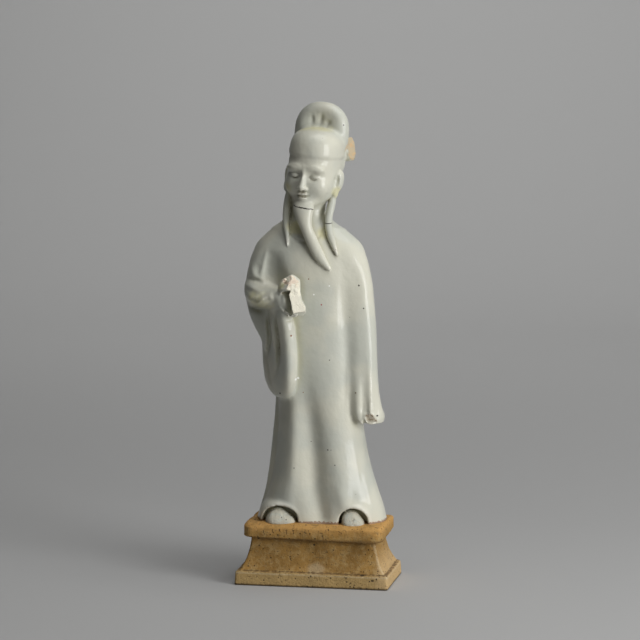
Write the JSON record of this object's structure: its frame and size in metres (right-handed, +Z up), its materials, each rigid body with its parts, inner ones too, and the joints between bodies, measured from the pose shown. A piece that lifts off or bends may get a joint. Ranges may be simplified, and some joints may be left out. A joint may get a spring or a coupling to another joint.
{
  "type": "porcelain scholar figure",
  "caption": "Standing bearded scholar in official's cap and long-sleeved robe, pale greenish-white glazed porcelain on an unglazed waisted rectangular plinth, with old breaks.",
  "frame": {"origin": "centre of the plinth's underside", "axes": "+Z up; the figure faces -Y; +X is on the right of a viewer who faces it"},
  "size_m": [0.0808, 0.0526, 0.2502],
  "materials": {
    "glaze": "glossy pale greenish-white glaze, yellower where it pools, with small iron specks",
    "biscuit": "unglazed buff to orange-brown fired clay, matt, with dark specks"
  },
  "bodies": {
    "root": {"scholar": "glaze", "plinth": "biscuit"}
  },
  "joints": []
}
